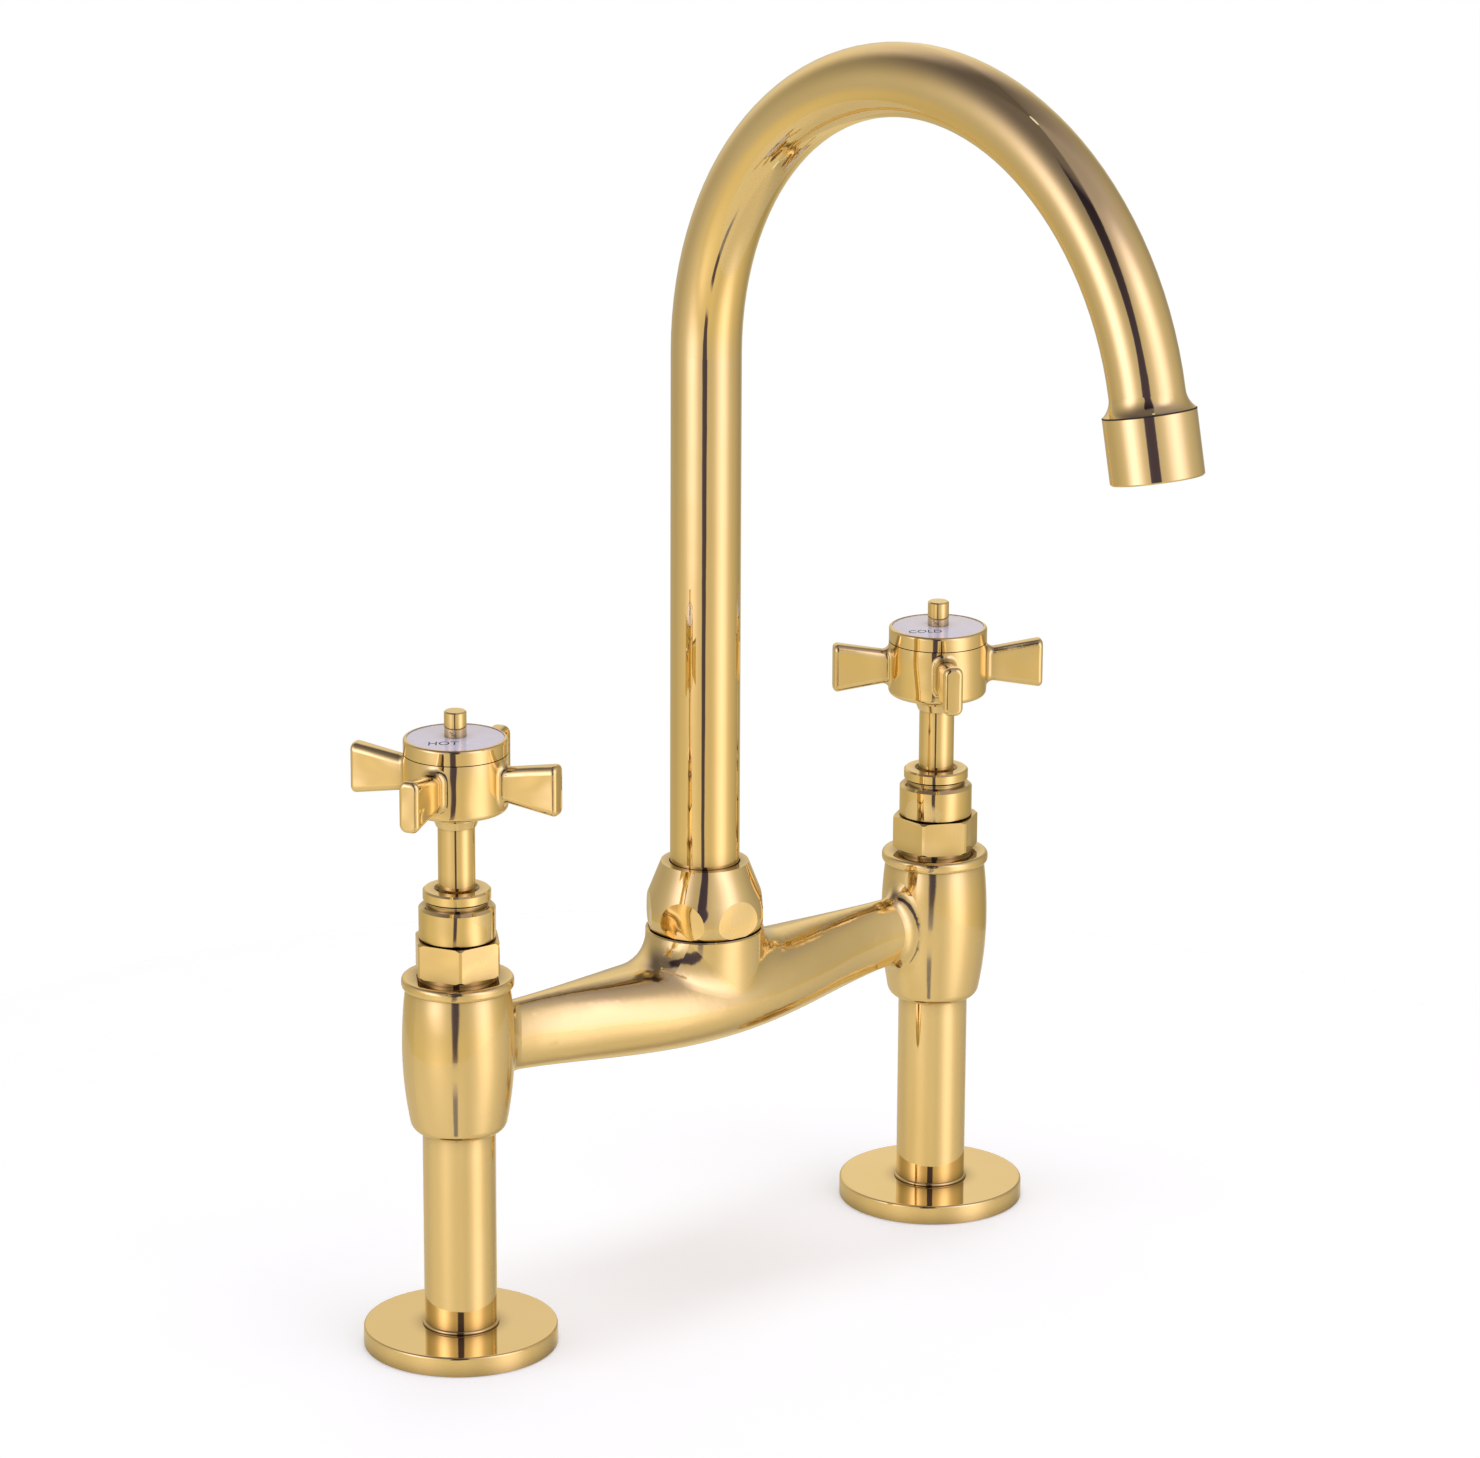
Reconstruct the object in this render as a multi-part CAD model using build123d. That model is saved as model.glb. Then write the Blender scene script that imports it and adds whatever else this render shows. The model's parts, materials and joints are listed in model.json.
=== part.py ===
from build123d import *
import os
from math import cos, radians, sin

# Deck-mounted bridge kitchen mixer in brass: two pillars on round flanges, a cast bridge body with two
# barrel-shaped valve bodies, a swivelling gooseneck spout and two quarter-turn valves with cross handles.
# Millimetres, +Z up. The origin is on the deck, midway between the pillars. The spout points along -Y,
# the hot valve stands at -X and the cold valve at +X.

# Fits
running_clearance = 0.05   # radial, a turning shaft in its hole
thread_clearance = 0.10    # radial, a male thread's envelope in a female one
seat_clearance = 0.05      # pieces put together by hand, and flat faces that slide on each other
seal_clearance = 0.03      # a seal ring to its groove and to its bore

# Layout
pillar_centres = 180.0

# Base flanges and their gaskets
flange_r = 27.3
flange_h = 5.6
flange_edge_r = 0.7
gasket_land = 3.5          # metal left on each side of the gasket's recess
gasket_h = 1.6

# Pillars
inlet_thread_r = 7.475     # minor radius of the female inlet thread
inlet_depth = 14.0
pillar_wall = 2.725        # metal outside the inlet thread
pillar_h = 63.4            # deck to the barrel's foot
pillar_step = 2.0          # from the pillar down to its spigot
spigot_h = 9.0
waterway_r = 5.0
seal_depth = 1.2           # depth of each seal groove

# Barrels of the bridge body
bonnet_thread_r = 10.4
barrel_wall = 5.15         # at the belly, outside the bonnet's thread
barrel_h = 44.9            # foot to rim top
belly_drop = 20.3          # rim top to the belly
neck_taper = 1.05          # belly radius to neck radius
shoulder_drop = 22.0       # belly to the edge above the foot
shoulder_taper = 2.1
foot_lip = 1.2             # the barrel's foot outside the pillar
rim_overhang = 1.07
rim_h = 3.3
rim_edge_r = 1.2
seat_web = 3.1             # between the pillar's socket and the valve seat

# Bridge arms: round sections that swell, sag and widen towards the hub
arm_end_r = 9.8
arm_mid_r = 12.2
arm_hub_r = 13.5           # half height at the hub
arm_hub_half_w = 17.6      # half width at the hub
arm_end_rise = 23.4        # axis above the barrel's foot, at the barrel
arm_mid_rise = 21.3
arm_hub_rise = 20.2
arm_mid_x = 38.0
arm_barrel_blend = 5.5
arm_hub_blend = 11.0

# Hub and the nipple that carries the swivel nut
hub_wall = 3.5             # outside the nipple
hub_h = 40.3               # barrel foot level to the hub's top
hub_bulb_drop = 15.4       # hub top to the middle of its rounded bottom
hub_edge = 0.4
nipple_wall = 1.85
nipple_h = 9.3
chamber_r = 8.6
chamber_floor_rise = 15.6  # above the barrel's foot

# Swivel nut
nut_gap = 0.3              # hub top to nut
nut_h = 19.3
nut_wall = 3.81            # at the belly, outside the nipple's thread
nut_belly_h = 4.0
nut_foot_taper = 1.2
nut_cone_h = 10.1          # nut foot to where the cone starts
nut_cone_taper = 1.18      # belly radius to the cone's foot
nut_top_wall = 2.4         # rim round the tube at the top
nut_tube_gap = 0.25
nut_flat_depth = 1.4       # facet below the belly
nut_flat_turn = 26.0

# Spout
tube_r = 9.94
tube_wall = 1.5
spout_straight_h = 167.8   # hub top to the start of the bend
spout_bend_r = 87.2
spout_bend_angle = 168.0
flare_h = 4.8
nozzle_r = 12.3
nozzle_h = 17.4
nozzle_wall = 1.6
nozzle_lip = 0.9
nozzle_lip_h = 1.4
nozzle_edge = 0.4
outlet_nipple_h = 6.0
seam_gap = 0.12

# Spout spigot in the hub, its seals and the thrust washer
spigot_wall = 1.6          # outside the tube
socket_depth = 10.8
spigot_flange_h = 2.8
spigot_tail_h = 18.8       # below the flange
spigot_bore_r = 8.0
spout_seal_low = 4.0       # above the spigot's foot
spout_seal_pitch = 4.4
washer_h = 0.8

# Aerator in the nozzle
aerator_washer_h = 1.2
aerator_washer_w = 2.0
aerator_hole_r = 1.25
aerator_pitch = 3.4
aerator_rings = 2
aerator_plate_h = 3.0
aerator_rim = 1.0

# Bonnets
bonnet_thread_h = 12.0
bonnet_neck_r = 10.9
bonnet_neck_h = 1.2
hex_across = 22.5
hex_corner_r = 12.75
hex_h = 9.9
hex_chamfer = 0.5
stem_r = 8.5               # round stem above the hexagon
stem_h = 10.4
skirt_r = 9.4
skirt_wall = 1.0
window_w = 8.0
window_h = 6.0
bonnet_seal_drop = 2.2     # rim top to the seal

# Gland sleeves, nuts and packing
sleeve_r = 10.67
sleeve_h = 9.6
sleeve_chamfer = 0.8
gland_skirt_wall = 1.6
gland_box_h = 9.4
gland_neck_h = 0.6
collar_r = 9.45
collar_h = 3.3
collar_edge = 0.5
collar_recess = 1.1
packing_h = 2.5
circlip_h = 1.0
circlip_w = 2.2
circlip_lift = 0.1

# Valve discs and seat seals
seat_seal_h = 1.7
seat_seal_w = 3.0
fixed_disc_h = 3.0
moving_disc_h = 2.8
disc_gap = 0.2             # disc to skirt
port_r = 6.4
port_hub_r = 2.6
port_angle = 76.0
drive_slot_depth = 1.0

# Spindles
spindle_r = 5.15
thrust_collar_r = 6.6
thrust_collar_h = 2.5
tail_r = 4.0
tongue_l = 12.0
tongue_w = 3.2
square_w = 7.0
square_gap = 0.6           # spindle end below the bezel's spigot
screw_hole_depth = 10.5
spindle_seal_rise = 13.0   # above the thrust collar
spindle_seal_pitch = 6.0
spindle_seal_depth = 0.95

# Cross handles
handle_rise = 22.6         # gland nut top to the hub
handle_neck_h = 4.6
handle_neck_r = 6.5
handle_neck_taper = 0.9
handle_hub_r = 14.4
handle_hub_h = 16.1
handle_edge_r = 1.6
arm_reach = 31.0
arm_root_h = 8.8
arm_tip_h = 15.2
arm_root_t = 5.0
arm_tip_t = 5.9
arm_edge_r = 2.2
arm_trim = 1.0             # cut off the arm's end when it is rounded
arm_end_edge_r = 1.3
arm_root_blend = 2.0
arm_rise = 8.8             # arm axis above the hub's foot
hot_handle_turn = 27.0
cold_handle_turn = 55.6
hot_hex_turn = 55.3
cold_hex_turn = 31.3

# Bezels, index discs and handle screws
bezel_seam = 0.25
bezel_h = 4.2
bezel_edge_r = 0.8
bezel_spigot_r = 11.0
bezel_spigot_h = 3.4
index_rim = 0.95
index_edge_h = 0.9
index_crown = 0.6
index_recess = 1.1
screw_head_r = 3.1
screw_head_h = 7.1
screw_head_edge = 0.35
screw_shank_r = 1.9
screw_shank_h = 18.5

# Radii that follow
pillar_r = inlet_thread_r + pillar_wall
pillar_spigot_r = pillar_r - pillar_step
pillar_groove_r = pillar_spigot_r - seal_depth
pillar_socket_r = pillar_spigot_r + seat_clearance
barrel_bore_r = bonnet_thread_r + thread_clearance
barrel_belly_r = barrel_bore_r + barrel_wall
barrel_neck_r = barrel_belly_r - neck_taper
barrel_foot_r = pillar_r + foot_lip
rim_r = barrel_neck_r + rim_overhang
bonnet_groove_r = bonnet_thread_r - seal_depth
stem_bore_r = spindle_r + running_clearance
disc_bore_r = skirt_r - skirt_wall
gland_skirt_r = stem_bore_r + gland_skirt_wall
gland_box_r = gland_skirt_r + seat_clearance
spindle_groove_r = spindle_r - spindle_seal_depth
spout_socket_r = tube_r + seat_clearance
spout_spigot_r = spout_socket_r + spigot_wall
spout_groove_r = spout_spigot_r - seal_depth
hub_bore_r = spout_spigot_r + running_clearance
nipple_r = hub_bore_r + nipple_wall
hub_r = nipple_r + hub_wall
nut_thread_r = nipple_r + thread_clearance
nut_belly_r = nut_thread_r + nut_wall
nut_hole_r = tube_r + nut_tube_gap
tube_bore_r = tube_r - tube_wall
outlet_nipple_r = nozzle_r - nozzle_wall - seat_clearance
screw_bore_r = screw_shank_r + seat_clearance

# Heights that follow, from the deck up
foot_z = pillar_h
seat_z = foot_z + spigot_h + seat_web
rim_z = foot_z + barrel_h
belly_z = rim_z - belly_drop
hub_top_z = foot_z + hub_h
nipple_top_z = hub_top_z + nipple_h
nut_foot_z = hub_top_z + nut_gap
nut_top_z = nut_foot_z + nut_h
spigot_flange_z = nipple_top_z + seat_clearance
spigot_foot_z = spigot_flange_z - spigot_tail_h
spigot_top_z = spigot_flange_z + spigot_flange_h
spout_foot_z = spigot_top_z - socket_depth
washer_z = spigot_top_z + seat_clearance
nut_shoulder_z = washer_z + washer_h + seat_clearance
fixed_disc_z = seat_z + seat_seal_h
moving_disc_z = fixed_disc_z + fixed_disc_h + seat_clearance
disc_top_z = moving_disc_z + moving_disc_h
chamber_top_z = disc_top_z + window_h + thrust_collar_h
hex_z = rim_z + bonnet_neck_h
hex_top_z = hex_z + hex_h
stem_top_z = hex_top_z + stem_h
gland_floor_z = stem_top_z - gland_box_h
collar_z = stem_top_z + gland_neck_h
collar_top_z = collar_z + collar_h
handle_z = collar_top_z + handle_rise
handle_neck_z = handle_z - handle_neck_h
handle_top_z = handle_z + handle_hub_h
bezel_z = handle_top_z + bezel_seam
bezel_top_z = bezel_z + bezel_h
bezel_floor_z = bezel_top_z - index_recess
index_top_z = bezel_floor_z + index_edge_h + index_crown
square_z = handle_z - seat_clearance
spindle_top_z = handle_top_z - bezel_spigot_h - square_gap


def rod(r, z0, z1):
    """Round bar on the Z axis between two heights."""
    return Pos(0, 0, z0) * Cylinder(r, z1 - z0, align=(Align.CENTER, Align.CENTER, Align.MIN))


def ring(r_out, r_in, z0, z1):
    """Plain ring on the Z axis between two heights."""
    return rod(r_out, z0, z1) - rod(r_in, z0, z1)


def turned(*outline):
    """Turned piece from its closed half section, given as radius and height pairs."""
    corners = [(r, 0, z) for r, z in outline]
    return revolve(make_face(Polyline(*corners, close=True)), Axis.Z)


def seal_section_r(groove_r, bore_r):
    """Radius of the round section that fills a groove up to its bore."""
    return (bore_r - groove_r) / 2 - seal_clearance


def seal_ring(groove_r, bore_r, z):
    """Round-section seal ring in its groove."""
    return Pos(0, 0, z) * Torus((bore_r + groove_r) / 2, seal_section_r(groove_r, bore_r))


def seal_groove(groove_r, bore_r, z):
    """Space that a seal ring's groove takes out of a spigot or spindle."""
    half = seal_section_r(groove_r, bore_r) + 2 * seal_clearance
    return ring(bore_r, groove_r, z - half, z + half)


def base_flange():
    plate = rod(flange_r, 0, flange_h)
    plate = fillet(plate.edges().sort_by(Axis.Z)[-1], flange_edge_r)
    recess = ring(flange_r - gasket_land, pillar_r + gasket_land, 0, gasket_h + seat_clearance)
    return plate - rod(pillar_r + seat_clearance, 0, flange_h) - recess


def base_gasket():
    outer = flange_r - gasket_land - seat_clearance
    return ring(outer, pillar_r + gasket_land + seat_clearance, 0, gasket_h)


def pillar_seal_z():
    return foot_z + spigot_h / 2


def pillar():
    tube = rod(pillar_r, 0, foot_z) + rod(pillar_spigot_r, foot_z, foot_z + spigot_h)
    tube -= rod(inlet_thread_r, 0, inlet_depth)
    tube -= rod(waterway_r, 0, foot_z + spigot_h)
    return tube - seal_groove(pillar_groove_r, pillar_socket_r, pillar_seal_z())


def barrel():
    """Outer form of one valve body: a belly between a foot on the pillar and a neck under the rim."""
    neck_z = rim_z - rim_h
    belly = (barrel_belly_r, 0, belly_z)
    neck = (barrel_neck_r, 0, neck_z)
    shoulder = (barrel_belly_r - shoulder_taper, 0, belly_z - shoulder_drop)
    foot = (barrel_foot_r, 0, foot_z)
    rise = TangentArc(belly, neck, tangent=(0, 0, 1))
    fall = TangentArc(belly, shoulder, tangent=(0, 0, -1))
    cup = TangentArc(fall @ 1, foot, tangent=fall % 1)
    core = Polyline(foot, (0, 0, foot_z), (0, 0, neck_z), neck)
    return revolve(make_face([rise, fall, cup, core]), Axis.Z)


def barrel_rim():
    rim = rod(rim_r, rim_z - rim_h, rim_z)
    return fillet(rim.edges().filter_by(GeomType.CIRCLE), rim_edge_r)


def bridge_arms():
    """Both arms as one bar, lofted through its sections from barrel to barrel."""
    end, mid, middle = Circle(arm_end_r), Circle(arm_mid_r), Ellipse(arm_hub_half_w, arm_hub_r)
    stations = [(0, arm_hub_rise, middle)]
    for side in (-1, 1):
        stations.append((side * arm_mid_x, arm_mid_rise, mid))
        stations.append((side * pillar_centres / 2, arm_end_rise, end))
    stations.sort(key=lambda station: station[0])
    sections = []
    for x, rise, section in stations:
        across = Plane(origin=(x, 0, foot_z + rise), x_dir=(0, 1, 0), z_dir=(1, 0, 0))
        sections.append(across * section)
    return loft(sections)


def hub():
    """Centre of the casting: a round post with a rounded bottom inside the arms."""
    bulb_z = hub_top_z - hub_bulb_drop
    low = hub_r * sin(radians(45))
    bottom = ThreePointArc((hub_r, 0, bulb_z), (low, 0, bulb_z - low), (0, 0, bulb_z - hub_r))
    sides = Polyline(
        (0, 0, bulb_z - hub_r),
        (0, 0, hub_top_z),
        (hub_r - hub_edge, 0, hub_top_z),
        (hub_r, 0, hub_top_z - hub_edge),
        (hub_r, 0, bulb_z),
    )
    return revolve(make_face([bottom, sides]), Axis.Z)


def bridge_body():
    """Casting of the two barrels, the arms and the hub, blended where they meet, then bored."""
    half = pillar_centres / 2
    arms = bridge_arms()
    barrels = [Pos(x, 0, 0) * Rot(0, 0, turn) * barrel() for x, turn in ((-half, 180), (half, 0))]
    casting = arms + barrels
    casting = fillet(new_edges(arms, *barrels, combined=casting), arm_barrel_blend)
    post = hub()
    joined = casting + post
    casting = fillet(new_edges(casting, post, combined=joined), arm_hub_blend)
    casting += rod(nipple_r, hub_top_z - hub_edge, nipple_top_z)
    for x in (-half, half):
        casting += Pos(x, 0, 0) * barrel_rim()
    casting -= rod(hub_bore_r, spigot_foot_z - running_clearance, nipple_top_z)
    casting -= rod(chamber_r, foot_z + chamber_floor_rise, spigot_foot_z)
    for x in (-half, half):
        bores = rod(barrel_bore_r, seat_z, rim_z)
        bores += rod(waterway_r, foot_z, seat_z)
        bores += rod(pillar_socket_r, foot_z, foot_z + spigot_h + seat_clearance)
        casting -= Pos(x, 0, 0) * bores
    crossing = Plane(origin=(-half, 0, foot_z + arm_hub_rise), z_dir=(1, 0, 0))
    casting -= crossing * Cylinder(waterway_r, 2 * half, align=(Align.CENTER, Align.CENTER, Align.MIN))
    return casting


def swivel_nut():
    """Tapering nut with six round facets milled into its belly."""
    foot = (nut_belly_r - nut_foot_taper, 0, nut_foot_z)
    belly = (nut_belly_r, 0, nut_foot_z + nut_belly_h)
    cone_foot = (nut_belly_r - nut_cone_taper, 0, nut_foot_z + nut_cone_h)
    top = (nut_hole_r + nut_top_wall, 0, nut_top_z)
    lower = TangentArc(belly, foot, tangent=(0, 0, -1))
    upper = TangentArc(belly, cone_foot, tangent=(0, 0, 1))
    core = Polyline(cone_foot, top, (0, 0, nut_top_z), (0, 0, nut_foot_z), foot)
    nut = revolve(make_face([lower, upper, core]), Axis.Z)
    facet = nut_belly_r - nut_flat_depth
    for k in range(6):
        cutter = Box(nut_wall, 2 * nut_belly_r, nut_h, align=(Align.MIN, Align.CENTER, Align.MIN))
        nut -= Rot(0, 0, nut_flat_turn + 60 * k) * Pos(facet, 0, nut_foot_z) * cutter
    nut -= rod(nut_hole_r, nut_foot_z, nut_top_z)
    return nut - rod(nut_thread_r, nut_foot_z, nut_shoulder_z)


def spout_line():
    """Centre line of the spout: its straight rise and its bend."""
    rise_end = hub_top_z + spout_straight_h
    rise = Line((0, 0, spout_foot_z), (0, 0, rise_end))
    centre = Vector(0, -spout_bend_r, rise_end)
    points = []
    for share in (0.5, 1.0):
        angle = radians(spout_bend_angle * share)
        points.append(centre + Vector(0, spout_bend_r * cos(angle), spout_bend_r * sin(angle)))
    bend = ThreePointArc(rise @ 1, *points)
    return rise, bend


def outlet_plane():
    """Frame at the end of the bend: local Z along the flow, local X along the tap's X."""
    bend = spout_line()[1]
    return Plane(origin=bend @ 1, x_dir=(1, 0, 0), z_dir=bend % 1)


def spout_tube():
    rise, bend = spout_line()
    path = rise + bend
    start = Plane.XY.offset(spout_foot_z)
    tube = sweep(start * Circle(tube_r), path=path)
    flare_edge = TangentArc((tube_r, 0, 0), (nozzle_r, 0, flare_h), tangent=(0, 0, 1))
    tip_z = flare_h + outlet_nipple_h
    flare_core = Polyline(
        (nozzle_r, 0, flare_h),
        (outlet_nipple_r, 0, flare_h),
        (outlet_nipple_r, 0, tip_z),
        (0, 0, tip_z),
        (0, 0, 0),
        (tube_r, 0, 0),
    )
    flare = revolve(make_face([flare_edge, flare_core]), Axis.Z)
    flare_bore = rod(tube_bore_r, 0, tip_z)
    tube = tube - sweep(start * Circle(tube_bore_r), path=path)
    return tube + outlet_plane() * (flare - flare_bore)


def nozzle_sleeve():
    bore = nozzle_r - nozzle_wall
    top = flare_h + seam_gap
    foot = flare_h + nozzle_h
    sleeve = turned(
        (bore, top),
        (nozzle_r, top),
        (nozzle_r, foot - nozzle_edge),
        (nozzle_r - nozzle_edge, foot),
        (bore - nozzle_lip, foot),
        (bore - nozzle_lip, foot - nozzle_lip_h),
        (bore, foot - nozzle_lip_h),
    )
    return outlet_plane() * sleeve


def aerator_washer():
    outer = outlet_nipple_r
    top = flare_h + outlet_nipple_h + seat_clearance
    return outlet_plane() * ring(outer, outer - aerator_washer_w, top, top + aerator_washer_h)


def aerator_insert():
    """Flow straightener: a rimmed cup with a plate of round holes at its lower end."""
    top = flare_h + outlet_nipple_h + aerator_washer_h + 2 * seat_clearance
    foot = flare_h + nozzle_h - nozzle_lip_h - seat_clearance
    cup = rod(outlet_nipple_r, top, foot)
    cup -= rod(outlet_nipple_r - aerator_rim, top, foot - aerator_plate_h)
    hole = rod(aerator_hole_r, top, foot)
    cup -= hole
    for turn in range(1, aerator_rings + 1):
        for place in PolarLocations(turn * aerator_pitch, 6 * turn):
            cup -= place * hole
    return outlet_plane() * cup


def spout_seal_heights():
    low = spigot_foot_z + spout_seal_low
    return (low, low + spout_seal_pitch)


def spout_spigot():
    """Swivel bush fixed to the tube's foot: sealed tail in the hub, flange held under the nut."""
    bush = rod(spout_spigot_r, spigot_foot_z, spigot_flange_z)
    bush += rod(nipple_r, spigot_flange_z, spigot_top_z)
    bush -= rod(spigot_bore_r, spigot_foot_z, spigot_top_z)
    bush -= rod(spout_socket_r, spout_foot_z, spigot_top_z)
    for z in spout_seal_heights():
        bush -= seal_groove(spout_groove_r, hub_bore_r, z)
    return bush


def spout_seals():
    return Compound([seal_ring(spout_groove_r, hub_bore_r, z) for z in spout_seal_heights()])


def thrust_washer():
    return ring(nipple_r, nut_hole_r, washer_z, washer_z + washer_h)


def bonnet(hex_turn):
    """Headwork body: threaded spigot and disc skirt below, hexagon and round stem above the rim."""
    skirt_foot = seat_z + seat_seal_h / 2
    thread_foot = rim_z - bonnet_thread_h
    body = rod(skirt_r, skirt_foot, thread_foot)
    body += rod(bonnet_thread_r, thread_foot, rim_z)
    body += rod(bonnet_neck_r, rim_z, hex_z)
    hexagon = extrude(RegularPolygon(hex_across / 2, 6, major_radius=False, rotation=hex_turn), hex_h)
    softened = chamfer(rod(hex_corner_r, 0, hex_h).edges().filter_by(GeomType.CIRCLE), hex_chamfer)
    body += Pos(0, 0, hex_z) * (hexagon & softened)
    body += rod(stem_r, hex_top_z, stem_top_z)
    body -= rod(disc_bore_r, skirt_foot, chamber_top_z)
    body -= rod(stem_bore_r, chamber_top_z, stem_top_z)
    body -= rod(gland_box_r, gland_floor_z, stem_top_z)
    window = Box(2 * barrel_bore_r, window_w, window_h, align=(Align.CENTER, Align.CENTER, Align.MIN))
    body -= Pos(0, 0, disc_top_z) * window
    return body - seal_groove(bonnet_groove_r, barrel_bore_r, rim_z - bonnet_seal_drop)


def gland_sleeve():
    low = hex_top_z
    high = low + sleeve_h
    return turned(
        (stem_r + seat_clearance, low),
        (sleeve_r - sleeve_chamfer / 2, low),
        (sleeve_r, low + sleeve_chamfer / 2),
        (sleeve_r, high - sleeve_chamfer),
        (sleeve_r - sleeve_chamfer, high),
        (stem_r + seat_clearance, high),
    )


def packing_z():
    return gland_floor_z + circlip_lift + circlip_h + circlip_lift


def gland_nut():
    skirt_foot = packing_z() + packing_h + seat_clearance
    return turned(
        (stem_bore_r, skirt_foot),
        (gland_skirt_r, skirt_foot),
        (gland_skirt_r, stem_top_z + seat_clearance),
        (stem_r - seat_clearance, stem_top_z + seat_clearance),
        (stem_r - seat_clearance, collar_z),
        (collar_r - collar_edge, collar_z),
        (collar_r, collar_z + collar_edge),
        (collar_r, collar_top_z - collar_edge),
        (collar_r - collar_edge, collar_top_z),
        (stem_bore_r + collar_recess, collar_top_z),
        (stem_bore_r, collar_top_z - collar_recess),
    )


def gland_packing():
    return ring(gland_skirt_r, stem_bore_r, packing_z(), packing_z() + packing_h)


def ported_disc(r, z0, z1, port_turn):
    """Ceramic disc with two opposite sector ports."""
    disc = rod(r, z0, z1)
    half = port_angle / 2
    for turn in (port_turn, port_turn + 180):
        start = Vector(cos(radians(turn - half)), sin(radians(turn - half)))
        middle = Vector(cos(radians(turn)), sin(radians(turn)))
        end = Vector(cos(radians(turn + half)), sin(radians(turn + half)))
        outline = [
            Line(start * port_hub_r, start * port_r),
            ThreePointArc(start * port_r, middle * port_r, end * port_r),
            Line(end * port_r, end * port_hub_r),
            ThreePointArc(end * port_hub_r, middle * port_hub_r, start * port_hub_r),
        ]
        disc -= Pos(0, 0, z0) * extrude(make_face(outline), z1 - z0)
    return disc


def fixed_disc():
    return ported_disc(disc_bore_r - seat_clearance, fixed_disc_z, fixed_disc_z + fixed_disc_h, 90)


def moving_disc():
    """Upper disc, a quarter turn from the lower one when closed, with the slot that drives it."""
    disc = ported_disc(disc_bore_r - disc_gap, moving_disc_z, disc_top_z, 0)
    slot = Box(
        tongue_w + 2 * seat_clearance,
        tongue_l + 2 * seat_clearance,
        drive_slot_depth,
        align=(Align.CENTER, Align.CENTER, Align.MAX),
    )
    return disc - Pos(0, 0, disc_top_z) * slot


def seat_seal():
    outer = disc_bore_r - seat_clearance
    return ring(outer, outer - seat_seal_w, seat_z, fixed_disc_z)


def thrust_collar_z():
    return chamber_top_z - seat_clearance - thrust_collar_h


def spindle_seal_heights():
    low = thrust_collar_z() + spindle_seal_rise
    return (low, low + spindle_seal_pitch)


def spindle():
    """Stem from the moving disc's slot up to the square inside the handle."""
    collar = thrust_collar_z()
    tongue_foot = disc_top_z - drive_slot_depth + seat_clearance
    stem = rod(spindle_r, collar, square_z) + rod(thrust_collar_r, collar, collar + thrust_collar_h)
    stem += rod(tail_r, disc_top_z + seat_clearance, collar)
    tongue_h = collar - tongue_foot
    tongue = Box(tongue_w, tongue_l, tongue_h, align=(Align.CENTER, Align.CENTER, Align.MIN))
    stem += Pos(0, 0, tongue_foot) * tongue
    square_h = spindle_top_z - square_z
    square = Box(square_w, square_w, square_h, align=(Align.CENTER, Align.CENTER, Align.MIN))
    stem += Pos(0, 0, square_z) * square
    stem -= rod(screw_bore_r, spindle_top_z - screw_hole_depth, spindle_top_z)
    for z in spindle_seal_heights():
        stem -= seal_groove(spindle_groove_r, stem_bore_r, z)
    clip_z = gland_floor_z + circlip_lift
    return stem - ring(stem_bore_r, spindle_groove_r, clip_z - seat_clearance, clip_z + circlip_h + seat_clearance)


def spindle_seals():
    return Compound([seal_ring(spindle_groove_r, stem_bore_r, z) for z in spindle_seal_heights()])


def circlip():
    """Split retaining ring in the spindle's groove, resting on the floor of the gland box."""
    low = gland_floor_z + circlip_lift
    inner = spindle_groove_r + seat_clearance
    clip = ring(inner + circlip_w, inner, low, low + circlip_h)
    opening = Box(2 * circlip_w + inner, circlip_w, circlip_h, align=(Align.MIN, Align.CENTER, Align.MIN))
    return clip - Pos(0, 0, low) * opening


def handle_arm():
    """One flared arm along +X: a slab that grows in height and thickness towards its rounded end."""
    axis_z = handle_z + arm_rise
    root_x = handle_hub_r - arm_root_t / 2
    sections = []
    for x, thickness, height in ((root_x, arm_root_t, arm_root_h), (arm_reach + arm_trim, arm_tip_t, arm_tip_h)):
        across = Plane(origin=(x, 0, axis_z), x_dir=(0, 1, 0), z_dir=(1, 0, 0))
        sections.append(across * Rectangle(thickness, height))
    slab = loft(sections, ruled=True)
    long_edges = [e for e in slab.edges() if abs((e % 0.5).X) > 0.5]
    slab = fillet(long_edges, arm_edge_r)
    slab &= rod(arm_reach, axis_z - arm_tip_h, axis_z + arm_tip_h)
    end_face = slab.faces().sort_by(Axis.X)[-1]
    return fillet(end_face.edges(), arm_end_edge_r)


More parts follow.
